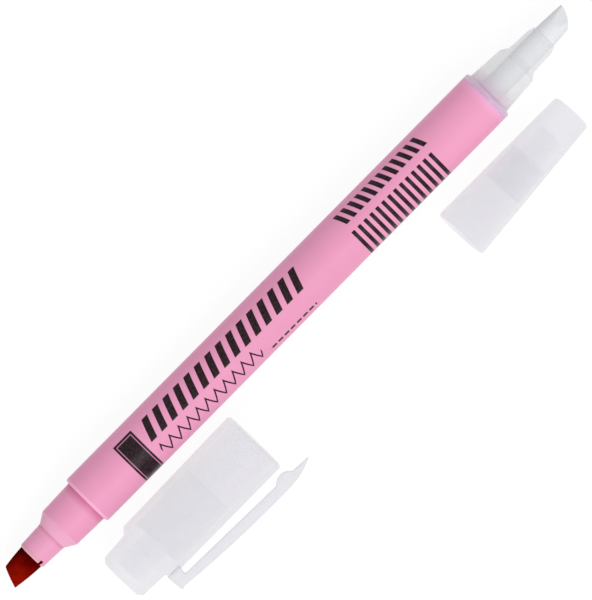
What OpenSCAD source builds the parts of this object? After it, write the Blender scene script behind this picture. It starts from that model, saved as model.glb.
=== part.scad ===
// Two-ended highlighter laid out flat: an ink nib at the -X end, an eraser nib at the +X end, and two caps taken off
// beside the barrel. Millimetres, +Z up, everything resting on z = 0, origin at the bottom centre of the whole layout.

/* [Barrel] */
// outside diameter of the straight barrel
barrel_d = 10.0; // [9.6:0.1:11]
// length of the straight barrel, shoulder to closing collar
barrel_len = 97.5; // [88:0.5:110]
// diameter of the bore that holds the two fibre reservoirs
barrel_bore_d = 8.2; // [7.8:0.1:8.4]
// small bevel round the two outer edges of the barrel
barrel_edge = 0.25; // [0.1:0.05:0.5]

/* [Nozzle] */
// diameter of the cap seat where it leaves the shoulder
seat_root_d = 8.6; // [8.4:0.1:8.7]
// diameter of the cap seat where the cone starts
seat_end_d = 8.2; // [7.6:0.1:8.3]
// length of the cap seat
seat_len = 6.64; // [5.5:0.1:8]
// length of the cone that leads to the tip tube
cone_len = 1.93; // [1.5:0.1:3]
// diameter of the tip tube at the cone
tip_root_d = 5.8; // [5.6:0.1:6.2]
// diameter of the tip tube at its open end
tip_end_d = 5.4; // [5.3:0.05:5.6]
// length of the tip tube
tip_len = 5.2; // [4:0.1:6.5]
// bevel round the open end of the tip tube
tip_bevel = 0.15; // [0.05:0.05:0.2]
// width of the air notches in the end of the tip tube
notch_w = 0.55; // [0.4:0.05:0.8]
// depth of the air notches along the pen
notch_len = 0.75; // [0.4:0.05:1.2]
// diameter of the hollow behind the tip tube
nose_bore_d = 6.6; // [6.2:0.1:6.8]
// thickness of the ribs that centre the nib in that hollow
rib_t = 0.7; // [0.5:0.1:1]

/* [Ink nib] */
// diameter of the round part of the ink nib
ink_nib_d = 4.7; // [4.5:0.05:4.8]
// length that stands out of the tip tube, at the long corner
ink_nib_out = 5.6; // [4.5:0.1:7]
// width across the writing edge
ink_nib_end_w = 3.7; // [3.2:0.1:4.2]
// angle of the writing edge away from square
ink_nib_slant = 21; // [10:1:30]
// radius of the bow of the writing edge, seen from above
ink_nib_bow = 14; // [8:1:30]
// thickness of the wedge at the writing edge
ink_nib_edge_t = 1.1; // [0.7:0.1:1.6]
// length of the wedge flats, back from the long corner
ink_nib_flat = 3.5; // [2.5:0.1:4.2]
// diameter of the tail that enters the reservoir
nib_tail_d = 3.0; // [2.4:0.1:3.4]
// length of each tail inside its reservoir
nib_tail_len = 5.0; // [3:0.5:8]

/* [Reservoirs] */
// diameter of both fibre rods
rod_d = 7.72; // [7.4:0.02:7.72]
// thickness of the film rolled round each rod
film_t = 0.15; // [0.12:0.01:0.16]
// length of the ink rod
ink_rod_len = 54; // [45:1:60]
// length of the stopper between the two rods
stopper_len = 4; // [3:0.5:6]
// depth of the cup in each face of the stopper
stopper_cup = 1.2; // [0.6:0.1:1.3]

/* [Nib holder] */
// length of the plug pushed into the barrel
plug_len = 6.0; // [4:0.5:9]
// number of air grooves along the plug
plug_grooves = 4; // [3:1:6]
// length of the collar that closes the barrel
collar_len = 1.03; // [0.8:0.05:1.6]
// diameter of the wide section at the collar
wide_root_d = 8.67; // [8.4:0.01:8.7]
// diameter of the wide section at its far end
wide_end_d = 7.76; // [7.4:0.02:7.9]
// length of the wide section
wide_len = 6.81; // [6:0.1:7.2]
// length of the bevel between the wide and narrow sections
step_len = 1.38; // [1:0.02:1.5]
// diameter of the narrow section at the bevel
narrow_root_d = 5.95; // [5.85:0.01:6]
// diameter of the narrow section at its far end
narrow_end_d = 5.62; // [5.55:0.01:5.7]
// length of the narrow section
narrow_len = 4.14; // [3.5:0.1:4.3]
// length of the bevel at the holder's open end
nose_len = 1.38; // [1:0.02:1.6]
// diameter of the holder at its open end
nose_d = 4.9; // [4.8:0.05:5]
// diameter of the hollow round the nib in the wide section
holder_bore_d = 6.3; // [5.6:0.1:6.6]

/* [Eraser nib] */
// diameter of the round part of the eraser nib
eraser_nib_d = 4.36; // [4.2:0.02:4.4]
// length that stands out of the holder, at the long corner
eraser_nib_out = 5.95; // [5:0.05:6.6]
// width across the rubbing edge
eraser_nib_end_w = 3.7; // [3.3:0.1:4]
// angle of the rubbing edge away from square
eraser_nib_slant = 30; // [15:1:32]
// radius of the bow of the rubbing edge, seen from above
eraser_nib_bow = 5.8; // [5:0.2:12]
// thickness of the wedge at the rubbing edge
eraser_nib_edge_t = 1.8; // [1.2:0.1:2.4]

/* [Large cap] */
// length of the large cap, closed end to mouth
cap_len = 33.1; // [32:0.1:38]
// diameter of the knob at the closed end
knob_end_d = 9.28; // [8.8:0.02:9.5]
// diameter of the knob where it meets the body
knob_root_d = 9.81; // [9.4:0.01:10]
// length of the knob
knob_len = 5.83; // [4.5:0.01:6]
// bevel at the closed end
knob_bevel = 0.7; // [0.4:0.05:1]
// diameter of the body at the knob end
cap_body_d = 12.07; // [11.9:0.01:12.3]
// diameter of the body at the mouth
cap_mouth_d = 12.5; // [12.4:0.05:13]
// bevel at the knob end of the body
cap_shoulder = 0.9; // [0.4:0.05:1]
// bevel round the outside of the mouth
cap_lip = 0.45; // [0.2:0.05:0.6]
// lead-in bevel inside the mouth
cap_lead = 0.35; // [0.2:0.05:0.6]
// how far the barrel enters the large cap
cap_overlap = 11.6; // [9:0.1:12]
// diameter of the narrow chamber that reaches into the knob
knob_bore_d = 6.4; // [6:0.1:6.8]
// thickness of the closed end wall
knob_wall = 1.4; // [1:0.1:1.5]
// diameter of the pocket that holds the sealing sleeve
seal_pocket_d = 9.74; // [9.5:0.02:9.74]
// wall of the sealing sleeve inside the large cap
seal_wall = 0.45; // [0.4:0.01:0.5]

/* [Pocket clip] */
// radius from the cap's axis to the outermost line of the clip
clip_out = 9.87; // [9.6:0.01:10.6]
// radius of the bow along the outside of the clip
clip_bow = 220; // [180:10:400]
// position of the bow's crown from the closed end
clip_crown = 30.5; // [29:0.5:31]
// thickness of the clip where it leaves the bridge
clip_root_t = 1.5; // [1.3:0.05:1.7]
// thickness of the clip beside the bead
clip_end_t = 1.82; // [1.6:0.02:2]
// end of the clip, measured from the closed end
clip_tip = 37.6; // [36:0.1:39]
// radius of the curved lead-in under the tip
tip_curve = 14.2; // [12:0.2:16]
// radius of the bead that grips the pocket
bead_r = 2.3; // [2:0.1:2.6]
// how far the bead stands in from the clip
bead_h = 0.92; // [0.5:0.02:1]
// position of the bead from the closed end
bead_x = 31.85; // [30.5:0.05:32.5]
// width of the clip at the bridge
clip_root_w = 4.2; // [3.6:0.1:5]
// width of the clip at the tip
clip_end_w = 3.2; // [2.6:0.1:3.6]
// length of the bridge along the cap
bridge_len = 2.75; // [2.4:0.05:3.2]

/* [Small cap] */
// length of the small cap
small_len = 28.6; // [28:0.1:33]
// diameter of the small cap at the mouth
small_mouth_d = 10.0; // [9.9:0.05:10.6]
// diameter of the small cap at the closed end
small_end_d = 7.5; // [7.3:0.05:8.2]
// bevel round the closed end
small_bevel = 0.7; // [0.3:0.05:0.9]
// bevel round the outside of the mouth
small_lip = 0.3; // [0.1:0.05:0.35]
// depth of the sealing rim from the mouth
small_rim = 10.6; // [9:0.1:11.5]
// diameter of the chamber at the sealing rim
small_chamber_d = 7.7; // [7.6:0.05:7.9]
// depth of the inner chamber from the mouth
small_depth = 23.6; // [22:0.1:26]
// length of the sealing sleeve inside the small cap
small_seal_len = 7.0; // [5:0.5:9]
// wall of that sleeve at its deep end
small_seal_wall = 0.45; // [0.4:0.02:0.55]

/* [Layout] */
// gap between the barrel and the mouth of the large cap
large_cap_gap = 2.16; // [1:0.02:8]
// distance of the large cap's mouth from the middle of the layout
large_cap_x = 21.55; // [17:0.05:24]
// turn of the large cap away from the pen's direction
large_cap_yaw = 0.57; // [-2:0.01:2]
// gap between the barrel and the mouth of the small cap
small_cap_gap = 3.59; // [2.4:0.02:8]
// distance of the small cap's mouth from the middle of the layout
small_cap_x = 28.5; // [20:0.05:34]
// turn of the small cap away from the pen's direction
small_cap_yaw = 2.37; // [-3:0.01:3]

/* [Fits] */
// radial clearance of pieces pushed together for good
push_fit = 0.02; // [0.01:0.005:0.03]
// radial clearance of the nibs in their guides
nib_fit = 0.05; // [0.03:0.01:0.08]
// radial clearance of the large cap's bore on the barrel
cap_fit = 0.05; // [0.04:0.01:0.1]
// radial clearance at the root of the clip
flex_fit = 0.05; // [0.03:0.01:0.08]

/* [Hidden] */
$fn = 48;
eps = 0.01;

// pen frame: x = 0 at the shoulder, the nozzle towards -x
barrel_r = barrel_d / 2;
bore_r = barrel_bore_d / 2;
nose_reach = seat_len + cone_len + tip_len;
floor_x = 0.9;
ink_nib_bore_r = ink_nib_d / 2 + nib_fit;
ink_nib_seat_x = floor_x;
rod_ink_x = floor_x + 0.6;
rod_ink_end = rod_ink_x + ink_rod_len;
stopper_end = rod_ink_end + stopper_len;
plug_x = barrel_len - plug_len;
rod_eraser_len = plug_x - stopper_end;
collar_end = barrel_len + collar_len;
wide_end = collar_end + wide_len;
narrow_start = wide_end + step_len;
narrow_end = narrow_start + narrow_len;
nose_end = narrow_end + nose_len;
pen_back = nose_reach + ink_nib_out;
pen_front = nose_end + eraser_nib_out;
pen_len = pen_back + pen_front;
film_r = rod_d / 2 + push_fit;
eraser_nib_bore_r = eraser_nib_d / 2 + nib_fit;

// large cap frame: x = 0 at the closed end, the mouth towards +x, the clip towards -y
cap_bore_r = barrel_r + cap_fit;
rim_x = cap_len - cap_overlap;
seal_x = knob_len + 2.87;
seal_r = seal_pocket_d / 2 - push_fit;
cap_slope = (cap_mouth_d - cap_body_d) / 2 / (cap_len - knob_len - cap_shoulder - cap_lip);
cap_tilt = atan(cap_slope);
hinge_r = clip_root_t / 2;
bridge_x = knob_len - 0.1;
hinge_x = bridge_x + 2.15;
root_out = clip_out - pow(clip_crown - hinge_x, 2) / (2 * clip_bow);
hinge_y = root_out - hinge_r;
bead_in = clip_out - clip_end_t;

// small cap frame: x = 0 at the mouth, the closed end towards +x
small_slope = (small_mouth_d - small_end_d) / 2 / (small_len - small_bevel - small_lip);
small_tilt = atan(small_slope);
small_bore_r = wide_root_d / 2 + cap_fit;
small_seal_r = small_chamber_d / 2 - 0.12;
small_seal_end_r = small_seal_r - small_seal_len * 0.02;
small_seal_bore_r = narrow_root_d / 2 + cap_fit;
small_deep_r = small_seal_bore_r - 0.1;

// layout: the two caps beside the pen, the origin in the middle of the outline
large_y = -(barrel_r + large_cap_gap + cap_mouth_d / 2);
small_y = -(barrel_r + small_cap_gap + small_mouth_d / 2);
crown_y = large_y - (cap_len - clip_crown) * cos(cap_tilt) * sin(large_cap_yaw);
clip_edge_y = crown_y + (clip_bow - clip_out) * cos(large_cap_yaw) - clip_bow;
pen_y = -(barrel_r + clip_edge_y) / 2;
shoulder_x = pen_back - pen_len / 2;

pink = [0.93, 0.63, 0.75];
clear = [0.88, 0.87, 0.89];

// turns a shape drawn round z so that it lies along x
module along_x() {
  rotate([0, 90, 0])
    children();
}

// a turned solid lying along x, from a list of [radius, x] corners
module turned(corners) {
  along_x()
    rotate_extrude()
      polygon(corners);
}

// a plain round rod along x from x0 to x1
module rod(r, x0, x1) {
  translate([x0, 0, 0])
    along_x()
      cylinder(h = x1 - x0, r = r);
}

// moves a shape from the pen's own frame to its place
module in_pen() {
  translate([shoulder_x, pen_y, barrel_r])
    children();
}

// moves a shape from the large cap's frame to its place
module in_large_cap() {
  translate([-large_cap_x, pen_y + large_y, cap_mouth_d / 2 * cos(cap_tilt) + cap_lip * sin(cap_tilt)])
    rotate([0, 0, large_cap_yaw])
      rotate([0, -cap_tilt, 0])
        translate([-cap_len, 0, 0])
          children();
}

// moves a shape from the small cap's frame to its place
module in_small_cap() {
  translate([small_cap_x, pen_y + small_y, small_mouth_d / 2 * cos(small_tilt) + small_lip * sin(small_tilt)])
    rotate([0, 0, small_cap_yaw])
      rotate([0, small_tilt, 0])
        children();
}

// a nib end seen from above: a disc whose rim is the bowed edge, the +y corner being the long one
module nib_plan(reach, half_w, slant, bow) {
  half_edge = half_w / cos(slant);
  translate([reach, half_w])
    rotate(-slant)
      translate([-sqrt(bow * bow - half_edge * half_edge), -half_edge])
        circle(r = bow, $fn = 96);
}

// a nib along +x: tail, round body, slightly tapered end and two wedge flats
module nib(tail_x, body_x, guide_end, out, d, end_w, slant, edge_t, flat_len, bow) {
  tip = guide_end + out;
  flat_x = tip - flat_len;
  rise = (d - edge_t) / 2;
  flat_tilt = atan(rise / flat_len);
  difference() {
    turned([[0, tail_x], [nib_tail_d / 2 - 0.5, tail_x], [nib_tail_d / 2, tail_x + 0.9],
      [nib_tail_d / 2, body_x], [d / 2 - 0.3, body_x], [d / 2, body_x + 0.4],
      [d / 2, guide_end + 0.4], [end_w / 2 * 1.06, tip + 0.3], [0, tip + 0.3]]);
    for (side = [-1, 1])
      translate([flat_x, 0, side * d / 2])
        rotate([0, side * flat_tilt, 0])
          translate([-1, -d, side > 0 ? 0 : -d])
            cube([flat_len + 5, 2 * d, d]);
    difference() {
      translate([guide_end + 0.2, -d, -d])
        cube([out + 2, 2 * d, 2 * d]);
      translate([0, 0, -d - 1])
        linear_extrude(height = 2 * d + 2)
          nib_plan(tip, end_w / 2, slant, bow);
    }
  }
}

// barrel with the nozzle moulded on it, bored for the rods and for the nib
module barrel() {
  color(pink)
    in_pen()
      difference() {
        turned([[0, -nose_reach], [tip_end_d / 2 - tip_bevel, -nose_reach],
          [tip_end_d / 2, -nose_reach + tip_bevel * 2], [tip_root_d / 2, -seat_len - cone_len],
          [seat_end_d / 2, -seat_len], [seat_root_d / 2, 0], [barrel_r - barrel_edge, 0],
          [barrel_r, barrel_edge], [barrel_r, barrel_len], [0, barrel_len]]);
        rod(bore_r, floor_x, barrel_len + 1);
        rod(ink_nib_bore_r, -nose_reach - 1, floor_x + 1);
        difference() {
          rod(nose_bore_d / 2, -seat_len + 0.4, floor_x + 0.5);
          nose_ribs();
        }
        for (turn = [135, 315])
          rotate([turn, 0, 0])
            translate([-nose_reach - eps, 0, -notch_w / 2])
              cube([notch_len, tip_end_d, notch_w]);
      }
}

// six ribs that centre the nib and stop the rod in the hollow nozzle
module nose_ribs() {
  for (turn = [0 : 60 : 300])
    rotate([turn, 0, 0])
      translate([-seat_len, ink_nib_bore_r - 0.4, -rib_t / 2])
        cube([seat_len + floor_x, nose_bore_d, rib_t]);
}

// chisel nib of the ink end: wedge flats up and down, long corner on the -y side
module ink_nib() {
  color([0.50, 0.06, 0.02])
    in_pen()
      rotate([0, 0, 180])
        nib(-rod_ink_x - nib_tail_len, -floor_x + 0.05, nose_reach, ink_nib_out, ink_nib_d,
          ink_nib_end_w, ink_nib_slant, ink_nib_edge_t, ink_nib_flat, ink_nib_bow);
}

// fibre rod with a socket for a nib tail, the socket at the x0 end
module fibre_rod(len) {
  difference() {
    rod(rod_d / 2, 0, len);
    rod(nib_tail_d / 2 + nib_fit, -1, nib_tail_len + 0.2);
  }
}

// film rolled round a fibre rod, with a narrow air slit left along it
module film(len) {
  difference() {
    rod(film_r + film_t, 0, len);
    rod(film_r, -1, len + 1);
    translate([-1, -0.35, 0])
      cube([len + 2, 0.7, bore_r + 1]);
  }
}

module ink_reservoir() {
  color([0.72, 0.16, 0.22])
    in_pen()
      translate([rod_ink_x, 0, 0])
        fibre_rod(ink_rod_len);
}

module ink_reservoir_film() {
  color([0.95, 0.94, 0.90])
    in_pen()
      translate([rod_ink_x, 0, 0])
        film(ink_rod_len);
}

// disc with a cup in each face that keeps the two liquids apart
module stopper() {
  color([0.94, 0.94, 0.94])
    in_pen()
      difference() {
        rod(bore_r - push_fit, rod_ink_end, stopper_end);
        rod(bore_r - 1.0, rod_ink_end - 1, rod_ink_end + stopper_cup);
        rod(bore_r - 1.0, stopper_end - stopper_cup, stopper_end + 1);
        translate([(rod_ink_end + stopper_end) / 2, 0, 0])
          along_x()
            rotate_extrude()
              translate([bore_r + 0.12, 0])
                circle(r = 0.4);
      }
}

module eraser_reservoir() {
  color([0.96, 0.96, 0.95])
    in_pen()
      translate([plug_x, 0, 0])
        rotate([0, 0, 180])
          fibre_rod(rod_eraser_len);
}

module eraser_reservoir_film() {
  color([0.95, 0.94, 0.90])
    in_pen()
      translate([stopper_end, 0, 0])
        film(rod_eraser_len);
}

// translucent end piece: plug in the barrel, closing collar, wide cap seat, narrow seat and open nose
module nib_holder() {
  color(clear)
    in_pen()
      difference() {
        turned([[0, plug_x], [bore_r - push_fit - 0.4, plug_x], [bore_r - push_fit, plug_x + 0.6],
          [bore_r - push_fit, barrel_len], [barrel_r, barrel_len],
          [barrel_r, collar_end - 0.3], [barrel_r - 0.3, collar_end],
          [wide_root_d / 2, collar_end], [wide_end_d / 2, wide_end],
          [narrow_root_d / 2, narrow_start], [narrow_end_d / 2, narrow_end],
          [nose_d / 2, nose_end], [0, nose_end]]);
        turned([[0, plug_x - 1], [holder_bore_d / 2, plug_x - 1], [holder_bore_d / 2, wide_end - 1.1],
          [eraser_nib_bore_r, wide_end], [0, wide_end]]);
        rod(eraser_nib_bore_r, plug_x - 1, nose_end + 1);
        for (i = [0 : plug_grooves - 1])
          rotate([i * 360 / plug_grooves, 0, 0])
            translate([plug_x - eps, bore_r - 0.35, -0.4])
              cube([plug_len - 0.8, 1, 0.8]);
      }
}

// nib of the eraser end: blunt wedge, long corner on the +y side
module eraser_nib() {
  color([0.93, 0.94, 0.96])
    in_pen()
      nib(plug_x - nib_tail_len, plug_x + 0.05, nose_end, eraser_nib_out, eraser_nib_d,
        eraser_nib_end_w, eraser_nib_slant, eraser_nib_edge_t, 3.4, eraser_nib_bow);
}

// outside and hollow of the large cap, without its clip
module cap_shell() {
  body_x = knob_len + cap_shoulder;
  difference() {
    turned([[0, 0], [knob_end_d / 2 - knob_bevel, 0], [knob_end_d / 2, knob_bevel],
      [knob_root_d / 2, knob_len], [cap_body_d / 2 - cap_shoulder, knob_len],
      [cap_body_d / 2, body_x], [cap_mouth_d / 2, cap_len - cap_lip],
      [cap_mouth_d / 2 - cap_lip, cap_len], [0, cap_len]]);
    turned([[0, seal_x], [seal_pocket_d / 2, seal_x], [seal_pocket_d / 2, rim_x],
      [cap_bore_r, rim_x], [cap_bore_r, cap_len - cap_lead],
      [cap_bore_r + cap_lead, cap_len + eps], [0, cap_len + eps]]);
    turned([[0, knob_wall], [knob_bore_d / 2 - 0.6, knob_wall], [knob_bore_d / 2 - 0.15, knob_wall + 0.45],
      [knob_bore_d / 2, seal_x + eps], [0, seal_x + eps]]);
  }
}

// large cap: shell with knob, and the bridge that carries the clip
module large_cap() {
  color(clear)
    in_large_cap() {
      cap_shell();
      difference() {
        translate([0, 0, -clip_root_w / 2])
          linear_extrude(height = clip_root_w)
            difference() {
              polygon([[bridge_x - 0.06, -cap_bore_r - 0.3], [bridge_x + 0.37, -root_out - 0.02],
                [hinge_x - hinge_r * 0.62, -root_out - 0.06], [hinge_x - hinge_r * 0.62, -hinge_y],
                [bridge_x + bridge_len - 0.3, -hinge_y + hinge_r * 0.9],
                [bridge_x + bridge_len + 0.25, -cap_bore_r - 0.3]]);
              translate([hinge_x, -hinge_y])
                circle(r = hinge_r + flex_fit);
            }
        rod(cap_bore_r + 0.3, 0, cap_len);
      }
    }
}

// sleeve inside the large cap whose rim meets the barrel's shoulder and seals the nozzle
module large_cap_seal() {
  color([0.84, 0.83, 0.87])
    in_large_cap()
      difference() {
        turned([[0, seal_x], [seal_r - 0.2, seal_x], [seal_r, seal_x + 0.2], [seal_r, rim_x], [0, rim_x]]);
        turned([[0, seal_x - 1], [seal_r - seal_wall, seal_x - 1], [seal_r - seal_wall, rim_x - 0.3],
          [seal_r - seal_wall + 0.25, rim_x + eps], [0, rim_x + eps]]);
      }
}

// clip arm: bowed outside, straight inside, gripping bead and curved tip
module pocket_clip() {
  color(clear)
    in_large_cap()
      intersection() {
        union() {
          upright(hinge_x, -hinge_y, hinge_r);
          clip_arm();
          intersection() {
            upright(bead_x, -bead_in + bead_h - bead_r, bead_r);
            translate([bead_x - 3, -bead_in - 0.8, -clip_root_w])
              cube([6, 4, 2 * clip_root_w]);
          }
        }
        clip_plan();
      }
}

// an upright cylinder as high as the clip is wide
module upright(x, y, r) {
  translate([x, y, -clip_root_w / 2])
    cylinder(h = clip_root_w, r = r);
}

// the arm alone in the plane of the clip, x along the cap and -y outwards
module clip_arm() {
  translate([0, 0, -clip_root_w / 2])
    linear_extrude(height = clip_root_w)
      difference() {
        intersection() {
          polygon([[hinge_x, -hinge_y + hinge_r], [bead_x, -bead_in], [clip_tip - 0.6, -bead_in - 0.36],
            [clip_tip, -bead_in - 0.42], [clip_tip, -clip_out - 1], [hinge_x, -clip_out - 1]]);
          translate([clip_crown, clip_bow - clip_out])
            circle(r = clip_bow, $fn = 720);
        }
        translate([clip_crown + 1, -clip_out - 1])
          difference() {
            square([clip_tip - clip_crown + 1, 4]);
            translate([0, 1 + tip_curve])
              circle(r = tip_curve, $fn = 180);
          }
      }
}

// plan of the clip: sides that close in towards a rounded tip
module clip_plan() {
  rotate([90, 0, 0])
    linear_extrude(height = clip_out + 2)
      intersection() {
        polygon([[0, -clip_root_w / 2], [hinge_x + 1, -clip_root_w / 2], [clip_tip, -clip_end_w / 2],
          [clip_tip, clip_end_w / 2], [hinge_x + 1, clip_root_w / 2], [0, clip_root_w / 2]]);
        union() {
          translate([0, -10])
            square([clip_tip - clip_end_w * 0.8, 20]);
          translate([clip_tip - clip_end_w * 0.9, 0])
            circle(r = clip_end_w * 0.9);
        }
      }
}

// outside and hollow of the small cap
module small_cap() {
  color(clear)
    in_small_cap()
      difference() {
        turned([[0, 0], [small_mouth_d / 2 - small_lip, 0], [small_mouth_d / 2, small_lip],
          [small_end_d / 2, small_len - small_bevel], [small_end_d / 2 - small_bevel, small_len],
          [0, small_len]]);
        turned([[0, -eps], [small_bore_r + 0.15, -eps], [small_bore_r, 0.35],
          [small_chamber_d / 2, small_rim], [0, small_rim]]);
        turned([[0, small_rim - 1], [small_seal_r, small_rim - 1], [small_seal_r, small_rim],
          [small_seal_end_r, small_rim + small_seal_len], [0, small_rim + small_seal_len]]);
        turned([[0, small_rim], [small_deep_r, small_rim], [small_deep_r, small_rim + small_seal_len],
          [small_deep_r - 0.25, small_depth - 0.5], [small_deep_r - 0.75, small_depth], [0, small_depth]]);
      }
}

// sleeve inside the small cap that seals the narrow section of the nib holder
module small_cap_seal() {
  color([0.84, 0.83, 0.87])
    in_small_cap()
      difference() {
        turned([[0, small_rim], [small_seal_r - push_fit, small_rim],
          [small_seal_end_r - push_fit, small_rim + small_seal_len], [0, small_rim + small_seal_len]]);
        turned([[0, small_rim - eps], [small_seal_bore_r + 0.2, small_rim - eps],
          [small_seal_bore_r, small_rim + 0.4], [small_seal_bore_r, small_rim + small_seal_len + 1],
          [0, small_rim + small_seal_len + 1]]);
      }
}

barrel();
ink_nib();
ink_reservoir();
ink_reservoir_film();
stopper();
eraser_reservoir();
eraser_reservoir_film();
nib_holder();
eraser_nib();
large_cap();
large_cap_seal();
pocket_clip();
small_cap();
small_cap_seal();
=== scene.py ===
import math
import bmesh
import bpy
import numpy as np
from mathutils import Matrix, Vector

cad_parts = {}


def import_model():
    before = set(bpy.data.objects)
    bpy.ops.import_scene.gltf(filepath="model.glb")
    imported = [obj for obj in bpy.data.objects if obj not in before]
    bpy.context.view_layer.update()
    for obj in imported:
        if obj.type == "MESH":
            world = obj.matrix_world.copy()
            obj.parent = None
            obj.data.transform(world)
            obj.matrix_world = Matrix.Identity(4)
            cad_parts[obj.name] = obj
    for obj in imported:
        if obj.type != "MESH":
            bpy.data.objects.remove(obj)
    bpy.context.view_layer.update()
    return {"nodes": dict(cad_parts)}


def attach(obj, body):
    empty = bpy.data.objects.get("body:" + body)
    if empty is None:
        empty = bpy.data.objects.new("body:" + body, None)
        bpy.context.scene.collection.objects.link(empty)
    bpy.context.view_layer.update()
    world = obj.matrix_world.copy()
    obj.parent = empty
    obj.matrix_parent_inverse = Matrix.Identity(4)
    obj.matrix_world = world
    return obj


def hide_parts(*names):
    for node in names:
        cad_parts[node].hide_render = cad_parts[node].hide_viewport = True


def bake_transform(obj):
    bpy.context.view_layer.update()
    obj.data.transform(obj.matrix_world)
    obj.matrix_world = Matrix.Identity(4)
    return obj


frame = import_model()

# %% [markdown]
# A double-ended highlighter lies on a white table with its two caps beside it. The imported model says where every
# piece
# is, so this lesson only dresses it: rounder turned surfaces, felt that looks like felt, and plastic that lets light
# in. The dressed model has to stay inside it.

MM = 0.001

# %% [markdown]
# Each separate thing on the table has its own straight line to be turned round: the pen, the large cap and the small
# cap. A frame per thing holds that line as its local x axis, so every profile below can be written in millimetres from
# the pen's shoulder, the large cap's closed end or the small cap's mouth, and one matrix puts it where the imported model
# has it. A cap lies on its widest ring and on its closed end, so its axis leans a little.

# %% The three turning axes
PEN_Y, PEN_Z, SHOULDER_X = 9.158, 5.0, -49.41
CAP_LEN, CAP_TILT, CAP_YAW = 33.1, math.radians(0.4752), math.radians(0.57)
SMALL_TILT, SMALL_YAW = math.radians(2.5931), math.radians(2.37)


def resting_height(radius, lip, tilt):
    """Height in mm of a tilted cap's axis at its mouth. Its widest ring, lip mm behind the mouth, is on the table."""
    return radius * math.cos(tilt) + lip * math.sin(tilt)


def axis_frame(mouth, yaw, tilt, before=0.0):
    """Matrix of a turning axis: moved back along x, then raised by tilt, turned by yaw and put at mouth, all in mm."""
    turn = Matrix.Rotation(yaw, 4, "Z") @ Matrix.Rotation(-tilt, 4, "Y")
    return Matrix.Translation(Vector(mouth)) @ turn @ Matrix.Translation((-before, 0, 0))


pen_axis = axis_frame((SHOULDER_X, PEN_Y, PEN_Z), 0, 0)
cap_mouth = (-21.55, PEN_Y - 13.41, resting_height(6.25, 0.45, CAP_TILT))
cap_axis = axis_frame(cap_mouth, CAP_YAW, CAP_TILT, CAP_LEN)
small_mouth = (28.5, PEN_Y - 13.59, resting_height(5.0, 0.3, SMALL_TILT))
small_axis = axis_frame(small_mouth, SMALL_YAW, -SMALL_TILT)
for name, m in (("pen", pen_axis), ("large cap", cap_axis), ("small cap", small_axis)):
    print(name, "axis starts at", [round(c, 3) for c in m.translation], "mm")

# %% [markdown]
# Moulded plastic has no sharp edges, and the thin bright line along a rounded edge is what tells the eye that a thing
# is real. A profile is therefore written as corners with a radius each, and the helper below turns every corner into an
# arc. It also puts one extra point just before and after the arc, so that the shading of the long straight runs stays
# flat, and marks the outer edges, which the materials use for a painted edge highlight.

# %% Rounding the corners of a profile
ARC_POINTS, GUARD_MM = 6, 0.12
MOST_OF_SIDE, GUARD_SHARE, STRAIGHT = 0.45, 0.3, 0.01


def rounded(corners, closed):
    """Profile points from (x, radius, corner radius) rows: each corner becomes an arc that touches both its sides, with
    a guard point next to it on each side. A row on a straight run stays a plain point. Returns the points and an edge
    mark that is 1 on outward bends and 0 elsewhere."""
    pts = np.array([c[:2] for c in corners], float)
    out, mark = [], []
    count = len(pts)
    for i, (p, r) in enumerate(zip(pts, [c[2] for c in corners])):
        if not closed and i in (0, count - 1):
            out.append(p)
            mark.append(0.0)
            continue
        a, b = pts[i - 1], pts[(i + 1) % count]
        ua, ub = (a - p) / np.linalg.norm(a - p), (b - p) / np.linalg.norm(b - p)
        if np.linalg.norm(ua + ub) < STRAIGHT:
            out.append(p)
            mark.append(0.0)
            continue
        half = math.acos(np.clip(ua @ ub, -1, 1)) / 2
        to_a, to_b = np.linalg.norm(a - p), np.linalg.norm(b - p)
        reach = min(r / math.tan(half), MOST_OF_SIDE * to_a, MOST_OF_SIDE * to_b)
        radius = reach * math.tan(half)
        centre = p + (ua + ub) / np.linalg.norm(ua + ub) * radius / math.sin(half)
        start, end = p + ua * reach - centre, p + ub * reach - centre
        bend = start[0] * end[1] - start[1] * end[0]
        angles = np.linspace(0, math.pi - 2 * half, ARC_POINTS) * np.sign(bend)
        cos, sin = np.cos(angles), np.sin(angles)
        arc = centre + np.stack([start[0] * cos - start[1] * sin, start[0] * sin + start[1] * cos], 1)
        room_a = min(GUARD_MM, GUARD_SHARE * (to_a - reach))
        room_b = min(GUARD_MM, GUARD_SHARE * (to_b - reach))
        out += [arc[0] + ua * room_a, *arc, arc[-1] + ub * room_b]
        outward = 1.0 if bend < 0 else 0.0
        mark += [0.0, *([outward] * ARC_POINTS), 0.0]
    return np.array(out), np.array(mark)


trial, marks = rounded([(0, 1, 0), (0, 2, 0.3), (5, 2, 0.3), (5, 1, 0)], closed=False)
print("a test profile has", len(trial), "points,", int(marks.sum()), "on outer edges")

# %% [markdown]
# Most pieces here come off a lathe. A surface of revolution is a function of two parameters, the place along the
# profile and the angle round the axis, so numpy works out the whole grid at once. The grid closes on itself round the
# axis. Along the profile it either closes too, as for a sleeve, or ends in a tiny ring round the axis, as for a cap.

# %% Turning a profile round its axis
POLE_MM = 0.01


def face_grid(rows, cols, wrap_rows):
    """Quads of a grid of rows by cols points that always closes round its columns, and round its rows if asked."""
    r = np.arange(rows if wrap_rows else rows - 1)[:, None]
    c = np.arange(cols)[None, :]
    r2, c2 = (r + 1) % rows, (c + 1) % cols
    return np.stack([r * cols + c, r * cols + c2, r2 * cols + c2, r2 * cols + c], -1).reshape(-1, 4)


def end_rings(rows, cols):
    """The first and the last ring of a grid, each as the list of points of one face."""
    return [range(cols), range((rows - 1) * cols, rows * cols)]


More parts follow.
